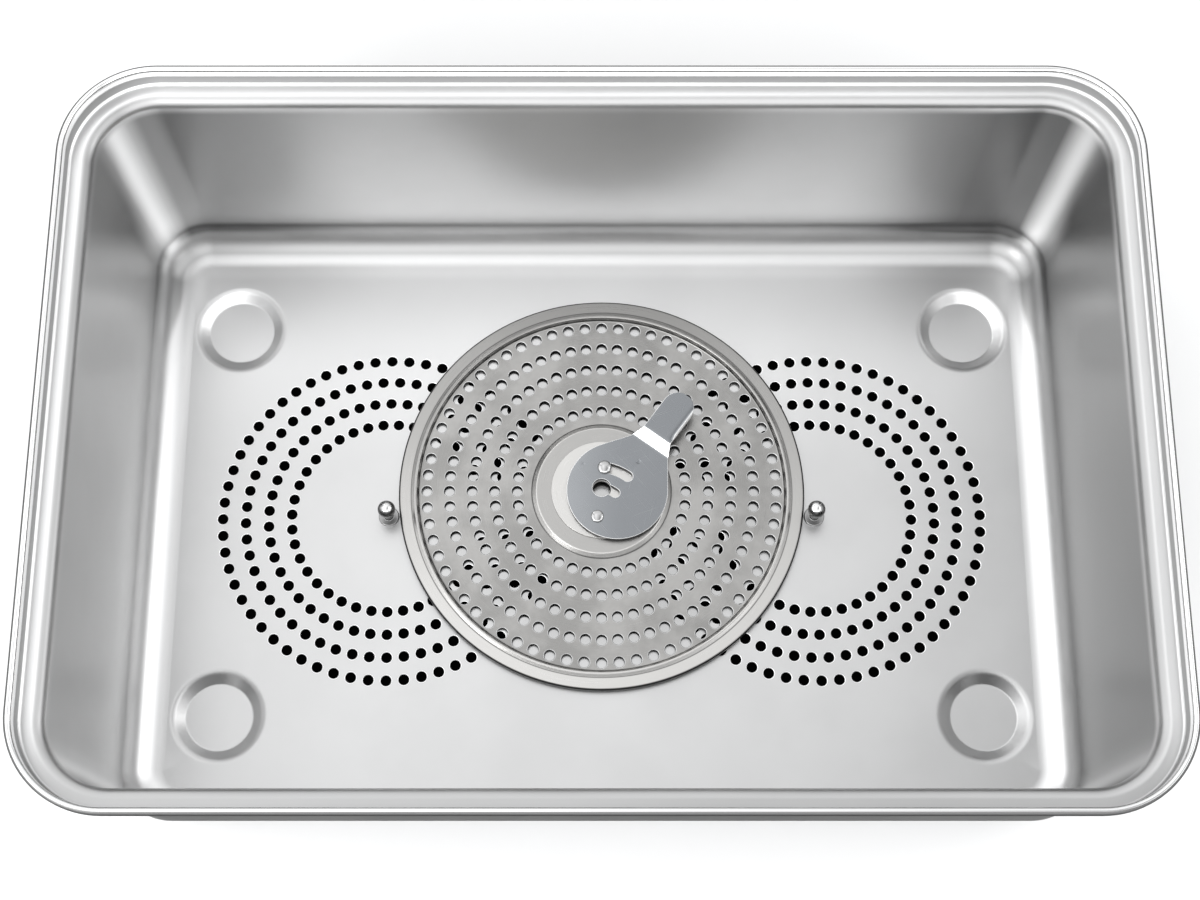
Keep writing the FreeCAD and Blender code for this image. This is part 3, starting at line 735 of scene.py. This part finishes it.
def bailParts():
    leg, half = handle["legCentre"], handle["legWidth"] / 2
    low, bend = half - handle["reach"], handle["corner"] - half
    line = roundedLine([(leg, 0, 0), (leg, low, bend), (-leg, low, bend), (-leg, 0, 0)], step=6)
    ahead = np.gradient(line, axis=0)
    ahead[0], ahead[-1] = (0, -1), (0, 1)
    ahead /= np.linalg.norm(ahead, axis=1)[:, None]
    path = np.column_stack([np.full(len(line), handle["standoff"]), line])
    across = np.column_stack([np.zeros(len(line)), -ahead[:, 1], ahead[:, 0]])
    tube = sweep(path, across, (1, 0, 0), roundedBox(handle["legWidth"], handle["thickness"], 1.3, 18))
    bore, outer = handle["pin"] + 0.1, handle["knuckle"]
    knuckle = roundedLine([(bore, -half, 0), (outer, -half, 0.6), (outer, half, 0.6), (bore, half, 0)],
                          step=20)
    return [tube] + [acrossY(knuckle + (0, side * leg), handle["standoff"], 0) for side in (-1, 1)]


# Soft sleeve: a rounded box section whose size eases down over the last millimetres at both ends.
def gripParts():
    length, deep, tall = handle["grip"]
    middle = -handle["reach"] + handle["legWidth"] / 2
    turn = np.linspace(0, math.pi / 2, 7)
    ends, ease = 2 * (1 - np.cos(turn)), np.sin(turn) * 1.6 - 1.6
    along = np.concatenate([ends - length / 2, (length / 2 - ends)[::-1]])
    loop = roundedBox(deep, tall, 4, 10)
    rings = np.stack([shifted(loop, -offset) for offset in np.concatenate([ease, ease[::-1]])])
    x = rings[..., 0] + handle["standoff"]
    z = rings[..., 1] + middle
    points = np.stack([x, along[:, None] + 0 * x, z], -1)
    tube = (points.reshape(-1, 3), gridQuads(len(along), len(loop)))
    return [tube, fan(points[0]), fan(points[-1])]


def catchParts():
    wide, sheet, tall, lip = handle["catch"]
    strip = roundedLine([(0, -tall, 0.3), (sheet, -tall, 0.4), (sheet, -sheet, 0.8), (lip, -sheet, 0.4),
                         (lip, 0, 0.4), (0, 0, 0.3)], closed=True, step=15)
    return [reordered(part, [0, 2, 1]) for part in cutSheet(strip, -wide / 2, wide / 2, 0.15)]


for side, name in ((1, "right"), (-1, "left")):
    kinds = (
        ("handle_bracket", bracketParts, "container", "handle_steel", handle["height"]),
        ("hinge_pins", pinParts, "container", "polished_steel", handle["height"]),
        ("handle_bail", bailParts, name + "_handle", "handle_steel", handle["height"]),
        ("handle_grip", gripParts, name + "_handle", "grip", handle["height"]),
        ("latch_catch", catchParts, "container", "handle_steel", handle["catchTop"]),
    )
    for kind, build, body, slot, height in kinds:
        node = name + "_" + kind
        parts = [(onWall(points, side, height), *rest) for points, *rest in build()]
        makePiece(node + "_skin", parts, body, slot, [node])


def pick(sockets, key):  # a node's socket by number, identifier or name
    if isinstance(key, int):
        return sockets[key]
    for socket in sockets:
        if socket.identifier == key:
            return socket
    return sockets[key]


# One output of a shader node. Sums and products of wires turn into Math nodes, or Vector Math for vectors.
class Wire:
    def __init__(self, net, socket):
        self.net = net
        self.socket = socket

    def out(self, key):
        return Wire(self.net, pick(self.socket.node.outputs, key))

    def maths(self, operation, *values):
        vector = any(isinstance(v, Wire) and v.socket.type == "VECTOR" for v in values)
        kind = "ShaderNodeVectorMath" if vector else "ShaderNodeMath"
        return self.net.node(kind, {"operation": operation}, dict(enumerate(values)))

    def __add__(self, other):
        return self.maths("ADD", self, other)

    def __radd__(self, other):
        return self.maths("ADD", other, self)

    def __sub__(self, other):
        return self.maths("SUBTRACT", self, other)

    def __rsub__(self, other):
        return self.maths("SUBTRACT", other, self)

    def __mul__(self, other):
        return self.maths("MULTIPLY", self, other)

    def __rmul__(self, other):
        return self.maths("MULTIPLY", other, self)

    def __truediv__(self, other):
        return self.maths("DIVIDE", self, other)

    def __rtruediv__(self, other):
        return self.maths("DIVIDE", other, self)

    def root(self):
        return self.maths("SQRT", self)

    def size(self):
        return self.maths("ABSOLUTE", self)

    def between(self, low, high):  # 0 below low, 1 above high, eased in between
        settings = {"interpolation_type": "SMOOTHSTEP"}
        inputs = {"Value": self, "From Min": low, "From Max": high}
        return self.net.node("ShaderNodeMapRange", settings, inputs)


# The node tree of a material or of the world.
class Net:
    def __init__(self, name, kind="materials"):
        self.owner = getattr(bpy.data, kind).new(name)
        self.owner.use_nodes = True
        self.tree = self.owner.node_tree
        self.tree.nodes.clear()

    def node(self, kind, settings=None, inputs=None):
        made = self.tree.nodes.new(kind)
        for key, value in (settings or {}).items():
            setattr(made, key, value)
        for key, value in (inputs or {}).items():
            socket = pick(made.inputs, key)
            if isinstance(value, Wire):
                self.tree.links.new(value.socket, socket)
            else:
                socket.default_value = value
        return Wire(self, next((s for s in made.outputs if s.enabled), None))

    def place(self):  # the row's coordinates in mm
        given = self.node("ShaderNodeTexCoord").out("Object")
        split = self.node("ShaderNodeSeparateXYZ", {}, {0: given})
        return split.out("X") * 1000, split.out("Y") * 1000, split.out("Z") * 1000

    def vector(self, x, y, z):
        return self.node("ShaderNodeCombineXYZ", {}, {0: x, 1: y, 2: z})

    def noise(self, vector, scale=1.0, detail=3.0, rough=0.5):
        inputs = {"Vector": vector, "Scale": scale, "Detail": detail, "Roughness": rough}
        return self.node("ShaderNodeTexNoise", {}, inputs).out(0)

    def mix(self, factor, first, second):  # of two colours
        inputs = {"Factor_Float": factor, "A_Color": first, "B_Color": second}
        return self.node("ShaderNodeMix", {"data_type": "RGBA"}, inputs).out("Result_Color")

    def finish(self, inputs, bump=None, strength=0.1, distance=0.0002):
        if bump is not None:
            height = {"Height": bump, "Strength": strength, "Distance": distance}
            inputs["Normal"] = self.node("ShaderNodeBump", {}, height)
        surface = self.node("ShaderNodeBsdfPrincipled", {}, inputs)
        self.node("ShaderNodeOutputMaterial", {}, {"Surface": surface})
        return self.owner

    def metal(self, colour, rough, *bump, tint=(1, 1, 1, 1)):
        inputs = {"Base Color": colour, "Metallic": 1.0, "Roughness": rough, "Specular Tint": tint}
        return self.finish(inputs, *bump)


def grey(value):
    return (value, value, value, 1)


def warm(value):
    return (value * 1.015, value, value * 0.975, 1)


# Blasted steel: even and soft, with faint clouds. Painted highlights brighten the floor's fold, the ledge,
# the back of the floor and a streak down each corner. Painted shade darkens the walls, the more so to the
# right, the lip, the shoulder and the floor below the plate, which is also smoother. The rolled bead is
# polished.
def satinSteel():
    net = Net("satinSteel")
    x, y, z = net.place()
    place = net.vector(x, y, z)
    clouds = net.noise(place, 0.022, 3.0)
    grain = net.noise(place, 1.6, 2.0)
    wave = net.noise(place, 0.012, 1.0)
    top = tub["top"]
    # how far out a point lies from the rim's outline, and where it lies round its corner
    pastX = x.size() - (tub["halfLength"] - tub["cornerRadius"])
    pastY = y.size() - (tub["halfWidth"] - tub["cornerRadius"])
    insideX, insideY = pastX.maths("MAXIMUM", pastX, 0.0), pastY.maths("MAXIMUM", pastY, 0.0)
    reach = (insideX * insideX + insideY * insideY).root() - tub["cornerRadius"]
    share = insideY.maths("ARCTAN2", insideY, insideX) / (math.pi / 2)
    away = (share - 0.42).size() + (insideX - pastX + insideY - pastY) / 70
    behind, before, right = y.between(70, 124), 1 - y.between(-150, -110), x.between(120, 215)
    polished = z.between(top - 5.5, top - 4.0)
    lip = z.between(top - 11.0, top - 10.4) * (1 - polished)
    ledge = reach.between(-10.5, -7.5) * (1 - lip) * (1 - polished) * z.between(top - 17, top - 14)
    shoulder = reach.between(-12.2, -11.2) * (1 - reach.between(-9.5, -7.5)) * (1 - before)
    wall = z.between(8, 18) * (1 - z.between(top - 22, top - 16))
    crest = reach - (behind * -8 - 24)  # distance from the fold's brightest line
    paintedFoldHighlight = 1 - crest.size().between(2, 7.5)
    shade = crest.between(3, 6) * (1 - z.between(9, 13))
    paintedCornerStreak = 1 - away.between(0.0, 0.19)
    shadow = away.between(0.14, 0.33) * (1 - away.between(0.45, 1.9))
    shadow = shadow * (share.between(0.42, 0.56) * 0.75 + 0.25)
    paintedWallShade = right * 0.29 + x.between(-215, -130) * 0.24 + behind * 0.08 + shadow * 0.62 - paintedCornerStreak * 0.4
    paintedWallShade = paintedWallShade + z.between(13, 17) * (1 - z.between(20, 25)) * behind * 0.3
    besideX, besideY = x - plate["centre"][0], y - plate["centre"][1]
    covered = 1 - (besideX * besideX + besideY * besideY).root().between(64, 94)
    covered = covered * (1 - z.between(8, 12))
    rough = 0.35 + (clouds - 0.5) * 0.08 + (grain - 0.5) * 0.06 - covered * 0.17
    rough = rough * (1 - polished) + polished * 0.12
    steel = net.mix(clouds.between(0.3, 0.7), grey(0.60), grey(0.64))
    # painted highlight along the floor's fold; the polished bead is lighter as well
    steel = net.mix(paintedFoldHighlight * (1 - z.between(14, 20)) + polished * 0.9, steel, grey(0.9))
    steel = net.mix(shade * behind * 0.85, steel, grey(0.3))
    # painted shade on the lip's face
    steel = net.mix(lip * 0.95, steel, grey(0.26))
    # painted shade on the walls, more on the side walls, beside the corner streaks and low on the back
    steel = net.mix(paintedWallShade * wall, steel, grey(0.12))
    # painted reflection down each corner
    steel = net.mix(paintedCornerStreak * wall * (1 - right * 0.85), steel, grey(0.9))
    # painted shade on the shoulder bend
    steel = net.mix(shoulder * z.between(top - 17.5, top - 16.5) * 0.7, steel, grey(0.3))
    # painted highlight on the ledge, with painted shade at the front
    steel = net.mix(ledge * (0.95 - right * 0.4), steel, net.mix(before, grey(0.92), grey(0.48)))
    # painted highlight on the back of the floor
    steel = net.mix(y.between(10, 115) * (1 - z.between(5.6, 7)) * 0.7, steel, grey(0.88))
    # painted shade on the floor below the plate
    steel = net.mix(covered * 0.75, steel, grey(0.4))
    return net.metal(steel, rough, wave + grain * 0.006, 0.5, 0.002)


def outsideSteel():
    net = Net("outsideSteel")
    x, y, z = net.place()
    clouds = net.noise(net.vector(x, y, z), 0.03, 3.0)
    # painted shade: a darker copy of the inner steel
    steel = net.mix(clouds, grey(0.34), grey(0.39))
    # painted shade round the bead's outer side
    steel = net.mix(z.between(tub["top"] - 8, tub["top"] - 4), steel, grey(0.16))  # darker round the bead
    return net.metal(steel, 0.36 + clouds * 0.08, tint=grey(0.15))


def smearedSteel(name, base, rough, spread, fineness):  # plain steel whose gloss varies in smears
    net = Net(name)
    x, y, z = net.place()
    smears = net.noise(net.vector(x, y, z), fineness, 2.0)
    return net.metal(grey(base), rough + smears * spread)


# Brushed steel with circular grain about the plate's centre and tarnished clouds on its perforated face.
# The flange has painted shade towards the back. Painted shade darkens the creases beside the bead and the
# hub, the turned-down rim and the underside.
def brushedSteel(name, base, face, rough):
    net = Net(name)
    x, y, z = net.place()
    across, along = x - plate["centre"][0], y - plate["centre"][1]
    radius = (across * across + along * along).root()
    grain = net.noise(net.vector(across / radius * 2.2, along / radius * 2.2, radius * 2.4), 1.0, 4.0, 0.6)
    clouds = net.noise(net.vector(x, y, z), 0.035, 4.0, 0.6)
    skirt = radius.between(plate["radius"] - 1.0, plate["radius"] - 0.3)
    below = 1 - (z - skirt * 1.5).between(plate["face"] - 0.5, plate["face"] - 0.2)
    middle = 1 - z.between(plate["face"] + 0.1, plate["face"] + 0.8)
    hub = (1 - radius.between(plate["hubRadius"] - 3, plate["hubRadius"] - 2.5)) * (1 - z.between(9.7, 9.9))
    tarnish = net.mix(clouds.between(0.35, 0.68), warm(face * 0.8), warm(face * 1.1))
    # painted shade on the flange towards the back
    flange = net.mix(y.between(-70, 90) * radius.between(60, 80), warm(base * 1.06), warm(base * 0.62))
    steel = net.mix(middle, net.mix(hub, flange, warm(base * 0.72)), tarnish)
    # painted shade in the creases beside the bead and the hub, and round the turned-down rim
    dark = 0.0
    inner = plate["radius"] - plate["flangeWidth"]
    creases = ((inner + 0.3, 0.5), (inner - plate["beadWidth"] + 0.3, 0.45),
               (plate["hubRadius"] - 0.3, 0.5))
    for place, width in creases:
        dark = dark + (1 - (radius - place).size().between(0, width)) * 0.75
    steel = net.mix(dark + radius.between(plate["radius"] - 1.1, plate["radius"] - 0.5), steel, grey(0.05))
    # painted shade on the underside and the turned-down rim
    steel = net.mix(below, steel, grey(0.05))
    return net.metal(steel, rough + (grain - 0.5) * 0.22 + (clouds - 0.5) * 0.12, grain, 0.25, 0.0001)


# Bluish rolled sheet with fine straight scratches in a few directions, painted shade towards the right and
# a painted highlight on the ramp.
def leverSteel():
    net = Net("leverSteel")
    x, y, z = net.place()
    scratches = None
    for turn, width in ((20, 1.4), (75, 1.0), (130, 1.7)):
        c, s = math.cos(math.radians(turn)), math.sin(math.radians(turn))
        lines = net.noise(net.vector((x * c + y * s) * 0.03, (y * c - x * s) * width, z * 0.2), 1.0, 2.0)
        lines = lines.between(0.66, 0.74)
        scratches = lines if scratches is None else scratches + lines
    clouds = net.noise(net.vector(x, y, z), 0.08, 3.0)
    low, high = lever["low"] + lever["sheet"] + 0.15, lever["low"] + lever["sheet"] + lever["rise"] - 0.15
    # painted shade towards the right
    base = net.mix(x.between(-22, 12), (0.32, 0.332, 0.346, 1), (0.235, 0.245, 0.258, 1))
    ramp = z.between(low, low + 0.35) * (1 - z.between(high - 0.35, high))
    # painted highlight on the ramp
    steel = net.mix(ramp, net.mix(scratches * 0.3, base, (0.42, 0.43, 0.44, 1)), grey(0.7))
    return net.metal(steel, 0.26 + (clouds - 0.5) * 0.1 + scratches * 0.06, scratches, 0.15, 0.0001)


def postSteel():  # dark, but bright on top of the ball, and softer on the collar
    net = Net("postSteel")
    x, y, z = net.place()
    smears = net.noise(net.vector(x, y, z), 0.6, 2.0)
    crown = z.between(ballHeight + 2.4, ballHeight + 3.9)
    collar = 1 - z.between(collarTop, collarTop + 0.2)
    # painted highlight on top of the ball, painted shade on the rest of it
    steel = net.mix(collar, net.mix(crown, grey(0.13), grey(0.8)), grey(0.38))
    return net.metal(steel, 0.05 + smears * 0.05 + collar * 0.25)


def handleSteel():
    net = Net("handleSteel")
    x, y, z = net.place()
    grain = net.noise(net.vector(x * 2.5, y * 0.12, z * 2.5), 1.0, 3.0)
    return net.metal(grey(0.46), 0.28 + (grain - 0.5) * 0.16, grain, 0.1, 0.0001)


def rubber(name, colour, rough):
    net = Net(name)
    x, y, z = net.place()
    grain = net.noise(net.vector(x, y, z), 2.2, 3.0)
    clouds = net.noise(net.vector(x, y, z), 0.08, 2.0)
    dark = tuple(0.85 * c for c in colour[:3]) + (1,)
    inputs = {"Base Color": net.mix(clouds, dark, colour), "Roughness": rough + (grain - 0.5) * 0.15}
    return net.finish(inputs, grain, 0.2, 0.0002)


finishes = {
    "satin_steel": satinSteel(),
    "brushed_plate_steel": brushedSteel("plateSteel", 0.56, 0.36, 0.30),
    "lever_steel": leverSteel(),
    "polished_steel": smearedSteel("polishedSteel", 0.52, 0.05, 0.05, 0.6),
    "handle_steel": handleSteel(),
    "silicone": rubber("silicone", (0.42, 0.43, 0.42, 1), 0.5),
    "grip": rubber("grip", (0.025, 0.026, 0.028, 1), 0.55),
}
edges = smearedSteel("edgeSteel", 0.92, 0.16, 0.08, 0.8)  # painted highlight on the rolled and punched edges
# painted highlight, weaker, on the plate's edges
plateEdges = smearedSteel("plateEdgeSteel", 0.6, 0.3, 0.08, 0.8)
# painted shade on the sides of punched holes
paintedHoleShade = smearedSteel("paintedHoleShadeSteel", 0.05, 0.4, 0.1, 0.8)  # the sides of punched holes
outside, posts = outsideSteel(), postSteel()
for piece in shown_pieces():
    slot = piece.get("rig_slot")
    if slot is None:
        slot = {"plate_gasket": "silicone"}.get(piece.name, "polished_steel")
    if piece.data.materials:  # clearing would also forget which face has which finish
        piece.data.materials.clear()
    surface = posts if piece.name == "filter_posts_skin" else finishes[slot]
    brink = plateEdges if piece.name == "retention_plate_skin" else edges
    for finish in (surface, brink, paintedHoleShade, outside):
        piece.data.materials.append(finish)
print("materials", len(finishes))

view = {
    "focalPixels": 2000.0,
    "pictureWidth": 1200.0,
    "tilt": math.radians(18.098),
    "place": (-0.726, -262.611, 910.187),
}
cameraData = bpy.data.cameras.new("camera")
cameraData.sensor_width = 36
cameraData.lens = view["focalPixels"] / view["pictureWidth"] * cameraData.sensor_width
cameraData.clip_start = 0.05
cameraData.clip_end = 20
camera = bpy.data.objects.new("camera", cameraData)
camera.matrix_world = Matrix.Translation(Vector(view["place"]) * mm) @ Matrix.Rotation(view["tilt"], 4, "X")
scene.collection.objects.link(camera)
scene.camera = camera

floorMesh = bpy.data.meshes.new("floor")
floorMesh.from_pydata([(-3, -3, 0), (3, -3, 0), (3, 3, 0), (-3, 3, 0)], [], [(0, 1, 2, 3)])
floor = bpy.data.objects.new("floor", floorMesh)
scene.collection.objects.link(floor)


def paleFloor():  # pale, and dark only below the tub, where it shows through the holes as black
    net = Net("paleFloor")
    x, y, z = net.place()
    below = (1 - x.size().between(186, 200)) * (1 - y.size().between(105, 120))
    # painted shadow on the floor below the tub
    colour = net.mix(below, grey(0.85), grey(0.004))
    return net.finish({"Base Color": colour, "Roughness": 0.9, "Specular IOR Level": 0.0})


floorMesh.materials.append(paleFloor())


# A light tent: a bright band part way up, in four panels with darker gaps at the diagonals and
# brightest in front, and an overhead panel that falls off to both sides, the more so to the right.
def lightTent():
    net = Net("lightTent", "worlds")
    split = net.node("ShaderNodeSeparateXYZ", {}, {0: net.node("ShaderNodeTexCoord").out("Generated")})
    x, y, z = split.out("X"), split.out("Y"), split.out("Z")
    overhead = z.between(0.84, 0.94)
    band = z.between(0.10, 0.34) * (1 - overhead)
    panels = ((x * x - y * y) / (x * x + y * y)).size().between(0.05, 0.35) * 0.75 + 0.25
    top = 1.70 - (x + 0.15).size() * 2.3 + (y - 0.25) * 0.5
    level = 0.6 * (1 - overhead) + band * panels * (1.15 - y * 0.9 - x * 0.3) + overhead * top
    backing = net.node("ShaderNodeBackground", {}, {"Color": (0.99, 0.995, 1.0, 1), "Strength": level})
    net.node("ShaderNodeOutputWorld", {}, {"Surface": backing})
    return net.owner


def softBox(name, place, size, power):  # turned towards the part
    data = bpy.data.lights.new(name, "AREA")
    data.shape = "RECTANGLE"
    data.size, data.size_y = size
    data.energy = power
    lamp = bpy.data.objects.new(name, data)
    lamp.location = place
    lamp.rotation_mode = "QUATERNION"
    lamp.rotation_quaternion = Vector(place).to_track_quat("Z", "Y")
    lamp.visible_camera = False
    scene.collection.objects.link(lamp)


softBox("lampFrontLeft", (-0.87, -0.81, 0.92), (0.5, 0.5), 4.5)
softBox("lampRight", (1.5, 0.3, 0.9), (0.4, 1.0), 2.0)
scene.world = lightTent()
scene.view_settings.view_transform = "Standard"
